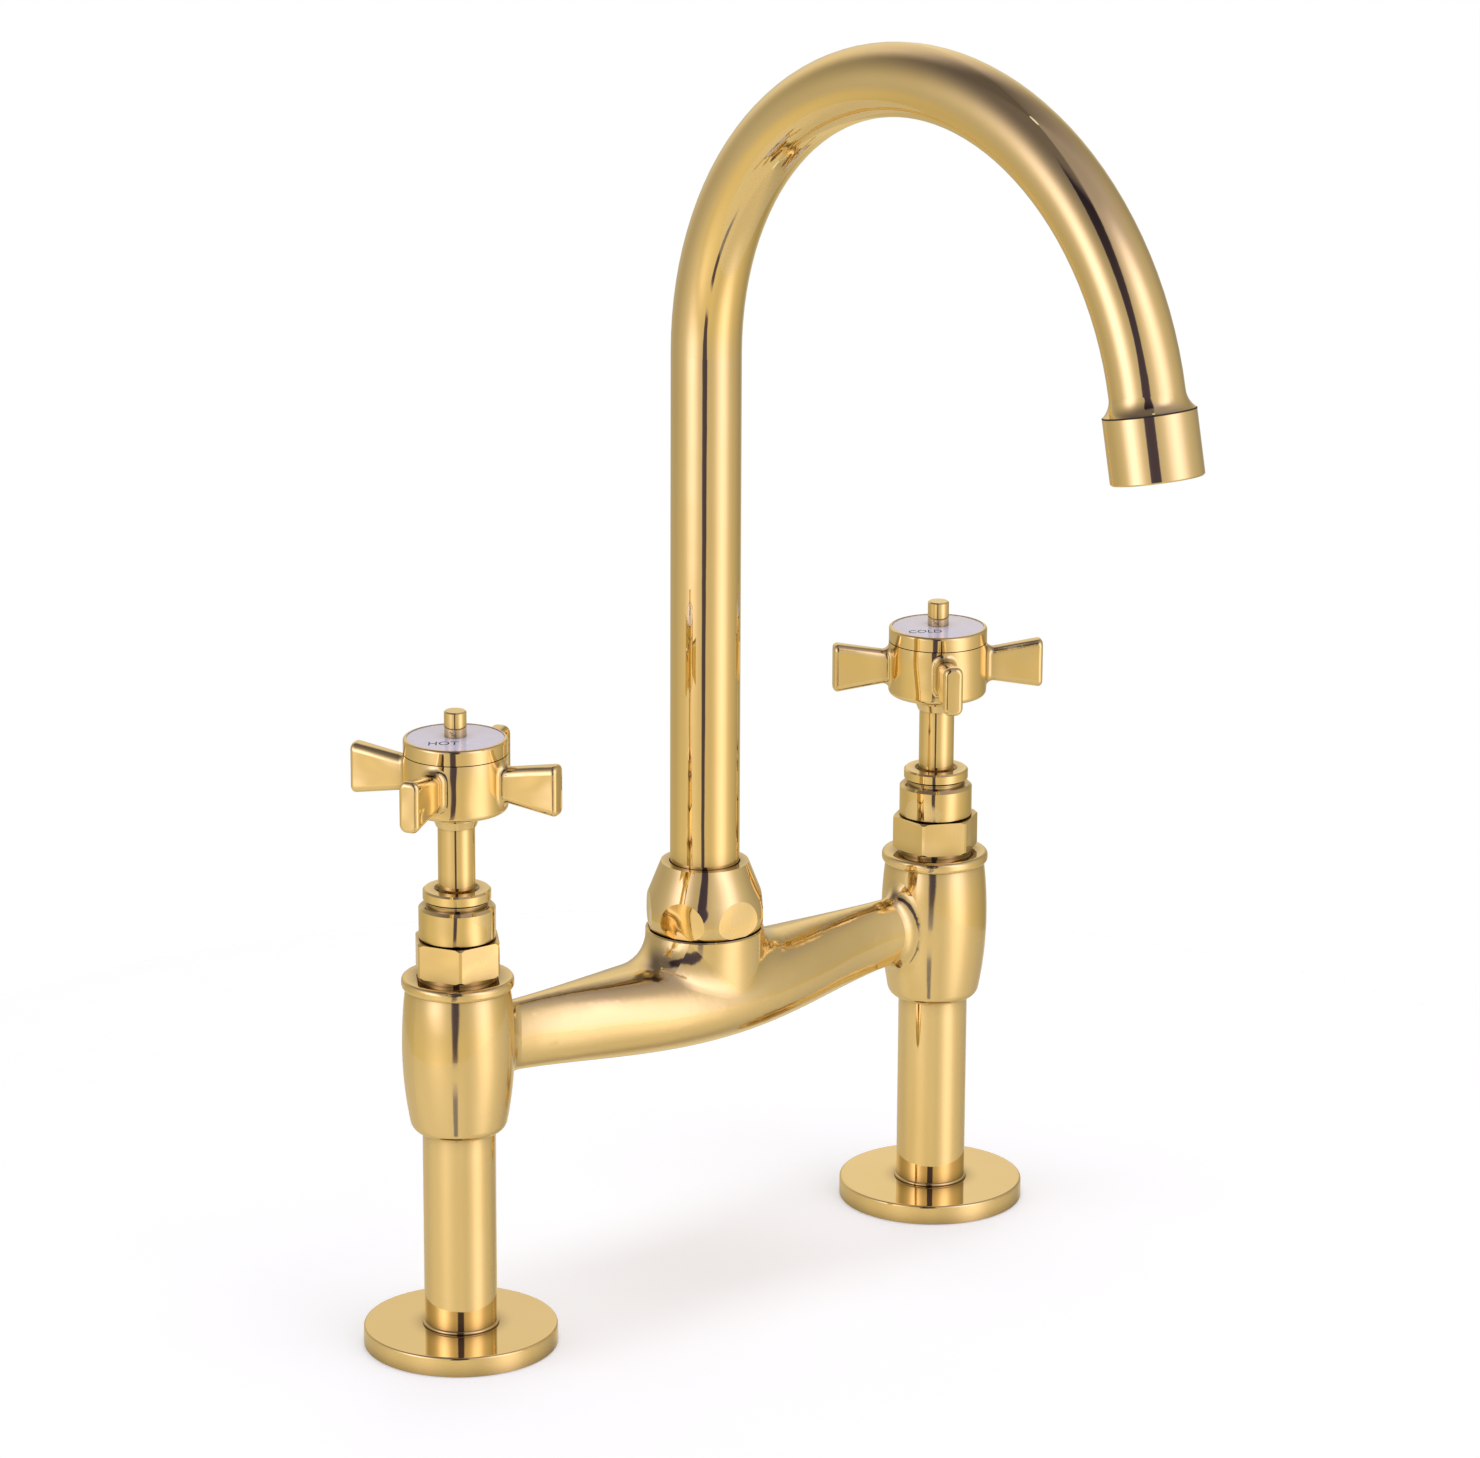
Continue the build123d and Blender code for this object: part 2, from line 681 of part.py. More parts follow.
def cross_handle(turn):
    hub_body = rod(handle_hub_r, handle_z, handle_top_z)
    hub_body = fillet(hub_body.edges().sort_by(Axis.Z)[0], handle_edge_r)
    cross = hub_body
    arm = handle_arm()
    for k in range(4):
        cross += Rot(0, 0, 90 * k) * arm
    roots = new_edges(hub_body, *[Rot(0, 0, 90 * k) * arm for k in range(4)], combined=cross)
    cross = Rot(0, 0, turn) * fillet(roots, arm_root_blend)
    neck = turned(
        (0, handle_neck_z),
        (handle_neck_r - handle_neck_taper, handle_neck_z),
        (handle_neck_r, handle_neck_z + handle_neck_h / 2),
        (handle_neck_r, handle_z + handle_edge_r),
        (0, handle_z + handle_edge_r),
    )
    cross += neck
    cross -= rod(spindle_r + seat_clearance, handle_neck_z, square_z + seat_clearance)
    socket_w = square_w + 2 * seat_clearance
    socket = Box(socket_w, socket_w, handle_top_z - square_z, align=(Align.CENTER, Align.CENTER, Align.MIN))
    cross -= Pos(0, 0, square_z) * socket
    recess_floor = handle_top_z - bezel_spigot_h - seat_clearance
    return cross - rod(bezel_spigot_r + seat_clearance, recess_floor, handle_top_z)


def bezel():
    """Cap of the handle's hub: spigot below, shallow recess for the index disc on top."""
    cap = rod(handle_hub_r, bezel_z, bezel_top_z)
    cap = fillet(cap.edges().sort_by(Axis.Z)[-1], bezel_edge_r)
    cap += rod(bezel_spigot_r, handle_top_z - bezel_spigot_h, bezel_z)
    cap -= rod(handle_hub_r - index_rim, bezel_floor_z, bezel_top_z)
    return cap - rod(screw_bore_r, handle_top_z - bezel_spigot_h, bezel_top_z)


def index_disc():
    """White disc in the bezel, slightly crowned, with a hole for the screw."""
    edge_r = handle_hub_r - index_rim - seat_clearance
    edge_z = bezel_floor_z + index_edge_h
    crown = TangentArc((0, 0, index_top_z), (edge_r, 0, edge_z), tangent=(1, 0, 0))
    sides = Polyline((edge_r, 0, edge_z), (edge_r, 0, bezel_floor_z), (0, 0, bezel_floor_z), (0, 0, index_top_z))
    disc = revolve(make_face([crown, sides]), Axis.Z)
    return disc - rod(screw_bore_r, bezel_floor_z, index_top_z)


def handle_screw():
    head_top = index_top_z + screw_head_h
    return turned(
        (0, index_top_z - screw_shank_h),
        (screw_shank_r, index_top_z - screw_shank_h),
        (screw_shank_r, index_top_z),
        (screw_head_r, index_top_z),
        (screw_head_r, head_top - screw_head_edge),
        (screw_head_r - screw_head_edge, head_top),
        (0, head_top),
    )


def valve_pieces(handle_turn, hex_turn):
    """Every piece that stands on one valve's axis, with that axis on Z."""
    pieces = {
        "base_flange": base_flange(),
        "base_gasket": base_gasket(),
        "pillar": pillar(),
        "pillar_seal": seal_ring(pillar_groove_r, pillar_socket_r, pillar_seal_z()),
        "bonnet": bonnet(hex_turn),
        "bonnet_seal": seal_ring(bonnet_groove_r, barrel_bore_r, rim_z - bonnet_seal_drop),
        "gland_sleeve": gland_sleeve(),
        "gland_nut": gland_nut(),
        "gland_packing": gland_packing(),
        "fixed_disc": fixed_disc(),
        "seat_seal": seat_seal(),
        "spindle": spindle(),
        "spindle_seals": spindle_seals(),
        "circlip": circlip(),
        "moving_disc": moving_disc(),
        "handle": cross_handle(handle_turn),
        "bezel": bezel(),
        "index_disc": index_disc(),
        "handle_screw": handle_screw(),
    }
    return pieces


parts = {
    "bridge_body": bridge_body(),
    "swivel_nut": swivel_nut(),
    "spout_tube": spout_tube(),
    "spout_spigot": spout_spigot(),
    "spout_seals": spout_seals(),
    "thrust_washer": thrust_washer(),
    "nozzle_sleeve": nozzle_sleeve(),
    "aerator_washer": aerator_washer(),
    "aerator_insert": aerator_insert(),
}
valves = (
    ("hot", -pillar_centres / 2, hot_handle_turn, hot_hex_turn),
    ("cold", pillar_centres / 2, cold_handle_turn, cold_hex_turn),
)
for side, x, handle_turn, hex_turn in valves:
    for name, piece in valve_pieces(handle_turn, hex_turn).items():
        parts[f"{side}_{name}"] = Pos(x, 0, 0) * piece

os.makedirs("parts", exist_ok=True)
for name, piece in parts.items():
    export_step(piece, f"parts/{name}.step")
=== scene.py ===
import json
import math

import bpy
import numpy as np
from mathutils import Matrix, Vector


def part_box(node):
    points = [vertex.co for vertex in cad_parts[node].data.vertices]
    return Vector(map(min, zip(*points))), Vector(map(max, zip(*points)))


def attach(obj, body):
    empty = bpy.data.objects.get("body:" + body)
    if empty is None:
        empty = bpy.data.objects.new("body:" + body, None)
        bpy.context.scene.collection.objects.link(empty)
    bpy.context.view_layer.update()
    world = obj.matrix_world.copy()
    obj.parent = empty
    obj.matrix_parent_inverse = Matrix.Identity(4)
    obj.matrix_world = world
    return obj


# Looks of a deck-mounted bridge kitchen mixer in polished brass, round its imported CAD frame.
# Metres and degrees, in the frame of the CAD: +Z up, the spout points along -Y, hot at -X and cold at +X.

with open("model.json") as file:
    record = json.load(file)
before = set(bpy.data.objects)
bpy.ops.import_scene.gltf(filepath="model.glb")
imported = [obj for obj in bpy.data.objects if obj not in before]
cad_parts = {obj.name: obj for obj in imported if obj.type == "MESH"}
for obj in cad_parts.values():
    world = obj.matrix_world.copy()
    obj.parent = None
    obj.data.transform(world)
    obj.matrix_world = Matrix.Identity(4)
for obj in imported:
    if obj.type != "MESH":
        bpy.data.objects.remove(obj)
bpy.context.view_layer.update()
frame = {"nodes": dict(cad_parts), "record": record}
nodes = frame["nodes"]
record = frame["record"]

VALVES = ("hot", "cold")
X_AXIS = np.array((1.0, 0.0, 0.0))
Y_AXIS = np.array((0.0, 1.0, 0.0))

# Colours, linear
BRASS = (0.92, 0.745, 0.42, 1.0)
BRASS_DEEP = (0.89, 0.71, 0.375, 1.0)
# Brown of the painted shade in the brass's corners and seams
SHADE_BROWN = (0.22, 0.155, 0.09, 1.0)
PORCELAIN = (0.60, 0.59, 0.77, 1.0)
VALVE_CERAMIC = (0.86, 0.84, 0.80, 1.0)
RUBBER = (0.018, 0.018, 0.019, 1.0)
WHITE_POLYMER = (0.78, 0.78, 0.76, 1.0)
GREY_POLYMER = (0.42, 0.43, 0.45, 1.0)
STEEL = (0.56, 0.56, 0.58, 1.0)
INK = (0.05, 0.05, 0.07, 1.0)
TABLE_COLOUR = (0.86, 0.885, 0.93, 1.0)
WHITE = (1.0, 1.0, 1.0, 1.0)

# Noise textures mostly keep between these two values
NOISE_LOW = 0.3
NOISE_HIGH = 0.7

# Brass: drift of its colour, painted shade that darkens corners and seams, variation of its polish, waves and
# polishing marks
DRIFT_SCALE = 22.0
OPENNESS_SAMPLES = 8
# Painted shade: the brass darkens towards a brown within these reaches of corners and of the seams between
# parts
CORNER_REACH = 0.005
CORNER_SHADE = 0.7
CORNER_SHUT = 0.45
CORNER_OPEN = 0.95
SEAM_REACH = 0.0006
SEAM_SHUT = 0.3
SEAM_OPEN = 0.7
POLISH_SCALE = 60.0
POLISH_VARIATION = (0.75, 1.3)
WAVE_SCALE = 55.0
WAVE_DETAIL = 1.0
WAVE_STRENGTH = 1.0
MARK_SCALE = 900.0
MARK_DETAIL = 2.0
MARK_STRETCH = (1.0, 1.0, 0.15)
MARK_STRENGTH = 0.02
MARK_DEPTH = 0.0002

# Other materials: a darker second colour, uneven roughness, grain and coat. The unevenness and the grain are
# these many times finer than the mottle of the colour.
DARKER_SHARE = 0.9
PLAIN_VARIATION = (0.85, 1.15)
ROUGHNESS_FINENESS = 2.0
GRAIN_FINENESS = 6.0
GRAIN_STRENGTH = 0.05
GRAIN_DEPTH = 0.0002
COAT_ROUGHNESS = 0.05

# Camera, from the photo's fit
CAMERA_AZIMUTH = -41.13
CAMERA_ELEVATION = 16.22
CAMERA_ROLL = 0.275
CAMERA_DISTANCE = 1.5967
CAMERA_TARGET = Vector((-0.00205, -0.01737, 0.16644))
CAMERA_LENS = 138.2
CAMERA_SENSOR = 36.0

# Words on the index discs. A disc's rim is what lies this close to its edge.
WORD_THICKNESS = 0.00004
WORD_RESOLUTION = 6
RIM_WIDTH = 0.00002

# Thin rings: the bead where a pillar stands on its flange, and a dark ring of painted shadow in the gap above
# the nozzle
RING_STEPS = 128
RING_SIDES = 16
BEAD_R = 0.0006
BEAD_RISE = 0.0003
GAP_SHADOW_R = 0.00026
GAP_SHADOW_SUNK = 0.0002
NOZZLE_TILT = 12.0

# Table and the lamp over it. A glow lifts the table for the camera, and metal sees only a share of it.
TABLE_RADIUS = 0.334
TABLE_SIDES = 256
TABLE_Z = -0.0002
TABLE_ROUGHNESS = 0.6
TABLE_LIFT = 0.245
TABLE_IN_METAL = 0.25
LAMP_COLOUR = (0.94, 1.0, 1.06)
LAMP_WATTS = 9.0
LAMP_SIZE = 1.0
LAMP_HEIGHT = 1.3

# Light tent, a sphere with its middle over the table
TENT_RADIUS = 1.5
TENT_MIDDLE = Vector((0.0, -0.05, 0.27))
TENT_COLUMNS = 360
TENT_ROWS = 120
TENT_TOP_ROW = 88.0

# Tint of the tent's cloth, roof, soft boxes and slit, and what its lower part loses of each colour
CLOTH_TINT = np.array((1.0, 0.873, 0.645))
ROOF_TINT = np.array((1.0, 0.873, 0.95))
BOX_TINT = np.array((1.0, 0.873, 1.09))
SLIT_TINT = np.array((1.0, 0.80, 1.40))
LOW_LOSS = np.array((0.0, 0.06, 0.30))

# Azimuths in the tent count from the camera, to its right, and elevations upwards from the tent's middle.
# A pair of angles says where a change starts and where it is complete.
ROOF = (20.0, 65.0)
LOW = (-8.0, -26.0)
LOW_GAIN = 0.12

# Cloth, left and right of the camera, darker overhead and towards the back
CLOTH_GLOW = 0.60
LEFT_ROOF_LOSS = 0.44
LEFT_ROOF = (0.0, 68.0)
LEFT_LOW_GAIN = 0.08
LEFT_LOW = (-10.0, -35.0)
LEFT_BACK_LOSS = 0.22
LEFT_BACK = (-80.0, -118.0)
RIGHT_ROOF_LOSS = 0.26
RIGHT_ROOF = (20.0, 85.0)
RIGHT_BACK_LOSS = 0.42
RIGHT_BACK = (85.0, 150.0)
RIGHT_FROM = (0.0, 20.0)
RIGHT_TO = (140.0, 178.0)

# Bright sweep of cloth behind the tap
SWEEP_GLOW = 0.48
SWEEP_AZIMUTH = -166.0
SWEEP_SIDE = (10.0, 46.0)
SWEEP_FOOT = (-18.0, 28.0)
SWEEP_TOP = (38.0, 70.0)

# Dark slit towards the camera. It leans one way below the knee and the other way above it, widens upwards and
# round its swell, narrows downwards, and is shut at the heights that the pillars mirror.
SLIT_LOSS = 0.88
SLIT_AZIMUTH = -3.0
SLIT_KNEE = 10.0
SLIT_LEAN_BELOW = 0.2
SLIT_LEAN_ABOVE = 0.15
SLIT_HALF = 6.5
SLIT_SOFT_EDGE = 2.5
SLIT_FLARE = 0.25
SLIT_FLARE_FROM = 15.0
SLIT_TAPER = 2.5
SLIT_TAPER_SPAN = (-12.0, -24.0)
SLIT_SWELL = 3.6
SLIT_SWELL_MIDDLE = 4.0
SLIT_SWELL_WIDTH = 8.0
SLIT_FOOT = (-62.0, -52.0)
SLIT_TOP = (55.0, 67.0)
SHUT_FROM = (-24.0, -27.0)
SHUT_TO = (-32.0, -35.0)

# Soft boxes beside the camera. Both lean, a darker band crosses the left one, and the right gains upwards.
LEFT_BOX_GLOW = 1.25
LEFT_BOX_AZIMUTH = -52.0
LEFT_BOX_LEAN = -0.3
LEFT_BOX_WIDTH = 14.0
LEFT_BOX_MIDDLE = 3.0
LEFT_BOX_HEIGHT = 18.0
BAND_LOSS = 0.65
BAND_MIDDLE = -21.0
BAND_HEIGHT = 2.5
RIGHT_BOX_GLOW = 0.88
RIGHT_BOX_GAIN = 1.0 / 300.0
RIGHT_BOX_AZIMUTH = 54.0
RIGHT_BOX_LEAN = -0.1
RIGHT_BOX_WIDTH = 15.5
RIGHT_BOX_FOOT = (-65.0, -25.0)
RIGHT_BOX_TOP = (33.0, 62.0)


def place(name, data):
    """New object in the scene."""
    piece = bpy.data.objects.new(name, data)
    bpy.context.scene.collection.objects.link(piece)
    return piece


def new_material(name):
    """New material with a Principled shader alone: the material, its node tree and the shader."""
    material = bpy.data.materials.new(name)
    material.use_nodes = True
    tree = material.node_tree
    tree.nodes.clear()
    output = tree.nodes.new("ShaderNodeOutputMaterial")
    shader = tree.nodes.new("ShaderNodeBsdfPrincipled")
    tree.links.new(shader.outputs["BSDF"], output.inputs["Surface"])
    return material, tree, shader


def noise(tree, scale, detail=3.0, stretch=(1.0, 1.0, 1.0)):
    """Noise in the object's own coordinates, stretched along the axes."""
    coordinates = tree.nodes.new("ShaderNodeTexCoord")
    mapping = tree.nodes.new("ShaderNodeMapping")
    mapping.inputs["Scale"].default_value = stretch
    texture = tree.nodes.new("ShaderNodeTexNoise")
    texture.inputs["Scale"].default_value = scale
    texture.inputs["Detail"].default_value = detail
    tree.links.new(coordinates.outputs["Object"], mapping.inputs["Vector"])
    tree.links.new(mapping.outputs["Vector"], texture.inputs["Vector"])
    return texture.outputs["Fac"]


def spread(tree, value, low, high, start=NOISE_LOW, stop=NOISE_HIGH):
    """Maps a value, from start to stop, to the range from low to high."""
    node = tree.nodes.new("ShaderNodeMapRange")
    node.inputs["From Min"].default_value = start
    node.inputs["From Max"].default_value = stop
    node.inputs["To Min"].default_value = low
    node.inputs["To Max"].default_value = high
    tree.links.new(value, node.inputs["Value"])
    return node.outputs["Result"]


def varied(tree, scale, roughness, variation):
    """Roughness that a noise varies between two multiples of it."""
    low, high = variation
    return spread(tree, noise(tree, scale), low * roughness, high * roughness)


def mixed(tree, factor, first, second):
    """Colour between two others. Each is a colour or a socket."""
    node = tree.nodes.new("ShaderNodeMix")
    node.data_type = "RGBA"
    tree.links.new(factor, node.inputs["Factor"])
    for socket, colour in ((node.inputs["A"], first), (node.inputs["B"], second)):
        if isinstance(colour, tuple):
            socket.default_value = colour
        else:
            tree.links.new(colour, socket)
    return node.outputs["Result"]


def bump(tree, height, strength, distance, normal=None):
    """Normal of a surface with this height on it, added to another bump's normal where one is given."""
    node = tree.nodes.new("ShaderNodeBump")
    node.inputs["Strength"].default_value = strength
    node.inputs["Distance"].default_value = distance
    tree.links.new(height, node.inputs["Height"])
    if normal is not None:
        tree.links.new(normal, node.inputs["Normal"])
    return node.outputs["Normal"]


def openness(tree, reach):
    """How open the surface lies within this reach: 1 in the open and less in a seam or corner."""
    node = tree.nodes.new("ShaderNodeAmbientOcclusion")
    node.inputs["Distance"].default_value = reach
    node.samples = OPENNESS_SAMPLES
    return node.outputs["AO"]


def brass(name, roughness, wave):
    """Brass: a colour that drifts, painted shade in corners and seams, a wavy polish and faint polishing
    marks.
    """
    material, tree, shader = new_material(name)
    drift = mixed(tree, spread(tree, noise(tree, DRIFT_SCALE), 0.0, 1.0), BRASS, BRASS_DEEP)
    # Painted shade: ambient occlusion darkens the colour towards a shade brown in corners and in the seams
    # between parts
    corners = spread(tree, openness(tree, CORNER_REACH), CORNER_SHADE, 0.0, CORNER_SHUT, CORNER_OPEN)
    seams = spread(tree, openness(tree, SEAM_REACH), 1.0, 0.0, SEAM_SHUT, SEAM_OPEN)
    corner_shaded = mixed(tree, corners, drift, SHADE_BROWN)
    tree.links.new(mixed(tree, seams, corner_shaded, SHADE_BROWN), shader.inputs["Base Color"])
    shader.inputs["Metallic"].default_value = 1.0
    polish = varied(tree, POLISH_SCALE, roughness, POLISH_VARIATION)
    tree.links.new(polish, shader.inputs["Roughness"])
    waves = bump(tree, noise(tree, WAVE_SCALE, WAVE_DETAIL), WAVE_STRENGTH, wave)
    marks = noise(tree, MARK_SCALE, MARK_DETAIL, MARK_STRETCH)
    tree.links.new(bump(tree, marks, MARK_STRENGTH, MARK_DEPTH, waves), shader.inputs["Normal"])
    return material


def plain(name, colour, roughness, scale, coat=0.0, metallic=0.0):
    """Moulded, fired or sprung stuff: a colour that varies slightly, with a fine grain in its surface."""
    material, tree, shader = new_material(name)
    darker = tuple(DARKER_SHARE * channel for channel in colour[:3]) + (1.0,)
    tree.links.new(mixed(tree, noise(tree, scale), colour, darker), shader.inputs["Base Color"])
    shader.inputs["Metallic"].default_value = metallic
    shader.inputs["Coat Weight"].default_value = coat
    shader.inputs["Coat Roughness"].default_value = COAT_ROUGHNESS
    uneven = varied(tree, ROUGHNESS_FINENESS * scale, roughness, PLAIN_VARIATION)
    tree.links.new(uneven, shader.inputs["Roughness"])
    grain = bump(tree, noise(tree, GRAIN_FINENESS * scale), GRAIN_STRENGTH, GRAIN_DEPTH)
    tree.links.new(grain, shader.inputs["Normal"])
    return material


materials = {
    "polished_brass": brass("polished_brass", roughness=0.035, wave=0.00008),
    "cast_brass": brass("cast_brass", roughness=0.09, wave=0.0003),
    "buffed_brass": brass("buffed_brass", roughness=0.04, wave=0.0012),
    "index_enamel": plain("index_enamel", PORCELAIN, roughness=0.18, scale=300.0, coat=0.6),
    "index_ink": plain("index_ink", INK, roughness=0.5, scale=600.0),
    "valve_ceramic": plain("valve_ceramic", VALVE_CERAMIC, roughness=0.25, scale=400.0),
    "rubber": plain("rubber", RUBBER, roughness=0.7, scale=700.0),
    "white_polymer": plain("white_polymer", WHITE_POLYMER, roughness=0.45, scale=500.0),
    "grey_polymer": plain("grey_polymer", GREY_POLYMER, roughness=0.4, scale=500.0),
    "spring_steel": plain("spring_steel", STEEL, roughness=0.3, scale=900.0, metallic=1.0),
}

# Brass nodes with a finish of their own
FINISHES = {"bridge_body": "cast_brass", "swivel_nut": "buffed_brass"}
for valve in VALVES:
    for name in ("handle", "bonnet", "gland_sleeve", "gland_nut"):
        FINISHES[f"{valve}_{name}"] = "buffed_brass"


def dress(node, material):
    """Gives a CAD node one material."""
    node.data.materials.clear()
    node.data.materials.append(material)


for subpart in record["subparts"]:
    finish = FINISHES.get(subpart["node"], subpart["material_slot"])
    dress(nodes[subpart["node"]], materials[finish])


def woven(name, points, closed=False):
    """Quads over a grid of points. Each row closes on itself and, where asked, the last row on the first."""
    rows, columns = points.shape[:2]
    faces = []
    for row in range(rows if closed else rows - 1):
        for column in range(columns):
            after = (column + 1) % columns
            here, there = row * columns, (row + 1) % rows * columns
            faces.append((here + column, there + column, there + after, here + after))
    mesh = bpy.data.meshes.new(name)
    mesh.from_pydata(points.reshape(-1, 3).tolist(), [], faces)
    return mesh


def smooth_step(start, stop, value):
    """0 up to the start and 1 from the stop on, eased between them. The stop may be the lower one."""
    share = np.clip((value - start) / (stop - start), 0.0, 1.0)
    return share * share * (3.0 - 2.0 * share)


def bell(value, centre, width):
    """Bell curve, 1 at its centre."""
    return np.exp(-0.5 * ((value - centre) / width) ** 2)


def cloth_glow(azimuth, elevation):
    """Brightness of the tent's cloth, with the sweep behind the tap."""
    left = CLOTH_GLOW - LEFT_ROOF_LOSS * smooth_step(*LEFT_ROOF, elevation)
    left = left + LEFT_LOW_GAIN * smooth_step(*LEFT_LOW, elevation)
    left = left * (1.0 - LEFT_BACK_LOSS * smooth_step(*LEFT_BACK, azimuth))
    right = CLOTH_GLOW - RIGHT_ROOF_LOSS * smooth_step(*RIGHT_ROOF, elevation)
    right = right * (1.0 - RIGHT_BACK_LOSS * smooth_step(*RIGHT_BACK, azimuth))
    share = smooth_step(*RIGHT_FROM, azimuth) * (1.0 - smooth_step(*RIGHT_TO, azimuth))
    cloth = left + share * (right - left)
    aside = np.abs((azimuth - SWEEP_AZIMUTH + 180.0) % 360.0 - 180.0)
    sweep = smooth_step(*SWEEP_FOOT, elevation) * (1.0 - smooth_step(*SWEEP_TOP, elevation))
    return cloth + SWEEP_GLOW * (1.0 - smooth_step(*SWEEP_SIDE, aside)) * sweep


def slit_depth(azimuth, elevation):
    """1 in the tent's dark slit and 0 outside it."""
    middle = SLIT_AZIMUTH + SLIT_LEAN_BELOW * np.minimum(elevation, SLIT_KNEE)
    middle = middle - SLIT_LEAN_ABOVE * np.maximum(elevation - SLIT_KNEE, 0.0)
    half = SLIT_HALF + SLIT_FLARE * np.maximum(elevation - SLIT_FLARE_FROM, 0.0)
    half = half - SLIT_TAPER * smooth_step(*SLIT_TAPER_SPAN, elevation)
    half = half + SLIT_SWELL * bell(elevation, SLIT_SWELL_MIDDLE, SLIT_SWELL_WIDTH)
    slit = 1.0 - smooth_step(half, half + SLIT_SOFT_EDGE, np.abs(azimuth - middle))
    slit = slit * smooth_step(*SLIT_FOOT, elevation) * (1.0 - smooth_step(*SLIT_TOP, elevation))
    shut = smooth_step(*SHUT_FROM, elevation) * (1.0 - smooth_step(*SHUT_TO, elevation))
    return slit * (1.0 - shut)


def box_glow(azimuth, elevation):
    """Brightness of the two soft boxes."""
    left = LEFT_BOX_GLOW * bell(azimuth, LEFT_BOX_AZIMUTH + LEFT_BOX_LEAN * elevation, LEFT_BOX_WIDTH)
    left = left * bell(elevation, LEFT_BOX_MIDDLE, LEFT_BOX_HEIGHT)
    left = left * (1.0 - BAND_LOSS * bell(elevation, BAND_MIDDLE, BAND_HEIGHT))
    right = RIGHT_BOX_GLOW + RIGHT_BOX_GAIN * elevation
    right = right * bell(azimuth, RIGHT_BOX_AZIMUTH + RIGHT_BOX_LEAN * elevation, RIGHT_BOX_WIDTH)
    right = right * smooth_step(*RIGHT_BOX_FOOT, elevation) * (1.0 - smooth_step(*RIGHT_BOX_TOP, elevation))
    return left + right


def tent_glow(azimuth, elevation):
    """Colour and brightness of the light tent."""
    slit = slit_depth(azimuth, elevation)
    low = smooth_step(*LOW, elevation)
    cloth = cloth_glow(azimuth, elevation) * (1.0 - SLIT_LOSS * slit) * (1.0 + LOW_GAIN * low)
    roof = smooth_step(*ROOF, elevation)[..., None]
    tint = CLOTH_TINT + roof * (ROOF_TINT - CLOTH_TINT)
    tint = tint + slit[..., None] * (SLIT_TINT - tint)
    boxes = box_glow(azimuth, elevation)
    warmth = 1.0 - low[..., None] * LOW_LOSS
    return (cloth[..., None] * tint + boxes[..., None] * BOX_TINT) * warmth


def tent_light():
    """Light in the colours that the tent's mesh carries."""
    material = bpy.data.materials.new("tent_light")
    material.use_nodes = True
    tree = material.node_tree
    tree.nodes.clear()
    attribute = tree.nodes.new("ShaderNodeAttribute")
    attribute.attribute_name = "glow"
    emission = tree.nodes.new("ShaderNodeEmission")
    output = tree.nodes.new("ShaderNodeOutputMaterial")
    tree.links.new(attribute.outputs["Color"], emission.inputs["Color"])
    tree.links.new(emission.outputs["Emission"], output.inputs["Surface"])
    return material


def light_tent():
    """Glowing sphere that lights the tap and shows in its metal. The camera looks through it."""
    columns = np.linspace(-180.0, 180.0, TENT_COLUMNS, endpoint=False)
    rows = np.linspace(-TENT_TOP_ROW, TENT_TOP_ROW, TENT_ROWS)
    azimuth, elevation = np.meshgrid(columns, rows)
    turn = np.radians(azimuth + CAMERA_AZIMUTH)
    rise = np.radians(elevation)
    points = TENT_RADIUS * np.stack(
        [np.sin(turn) * np.cos(rise), -np.cos(turn) * np.cos(rise), np.sin(rise)], axis=-1
    )
    mesh = woven("light_tent", points)
    glow = mesh.attributes.new("glow", "FLOAT_COLOR", "POINT")
    colours = np.ones((azimuth.size, 4), dtype=np.float32)
    colours[:, :3] = tent_glow(azimuth, elevation).reshape(-1, 3)
    glow.data.foreach_set("color", colours.ravel())
    mesh.materials.append(tent_light())
    tent = place("light_tent", mesh)
    tent.location = TENT_MIDDLE
    tent.visible_camera = False


def table_top():
    """Matt white, lifted for the camera. Metal shows the tent through it."""
    material, tree, shader = new_material("table_top")
    shader.inputs["Base Color"].default_value = TABLE_COLOUR
    shader.inputs["Roughness"].default_value = TABLE_ROUGHNESS
    shader.inputs["Specular IOR Level"].default_value = 0.0
    shader.inputs["Emission Color"].default_value = WHITE
    rays = tree.nodes.new("ShaderNodeLightPath")
    lift = tree.nodes.new("ShaderNodeMath")
    lift.operation = "MULTIPLY"
    lift.inputs[1].default_value = TABLE_LIFT
    tree.links.new(rays.outputs["Is Camera Ray"], lift.inputs[0])
    tree.links.new(lift.outputs["Value"], shader.inputs["Emission Strength"])
    solid = spread(tree, rays.outputs["Is Glossy Ray"], 1.0, TABLE_IN_METAL, 0.0, 1.0)
    tree.links.new(solid, shader.inputs["Alpha"])
    return material


def table():
    """Round table under the tap."""
    mesh = bpy.data.meshes.new("table")
    angles = [2 * math.pi * side / TABLE_SIDES for side in range(TABLE_SIDES)]
    rim = [(TABLE_RADIUS * math.cos(angle), TABLE_RADIUS * math.sin(angle), TABLE_Z) for angle in angles]
    mesh.from_pydata(rim, [], [tuple(range(TABLE_SIDES))])
    mesh.materials.append(table_top())
    top = place("table", mesh)


def overhead_lamp():
    """Large soft lamp for the matt surfaces. Polished metal doesn't show it."""
    data = bpy.data.lights.new("overhead_lamp", "AREA")
    data.energy = LAMP_WATTS
    data.size = LAMP_SIZE
    data.color = LAMP_COLOUR
    lamp = place("overhead_lamp", data)
    lamp.location = (0.0, 0.0, LAMP_HEIGHT)
    lamp.visible_glossy = False


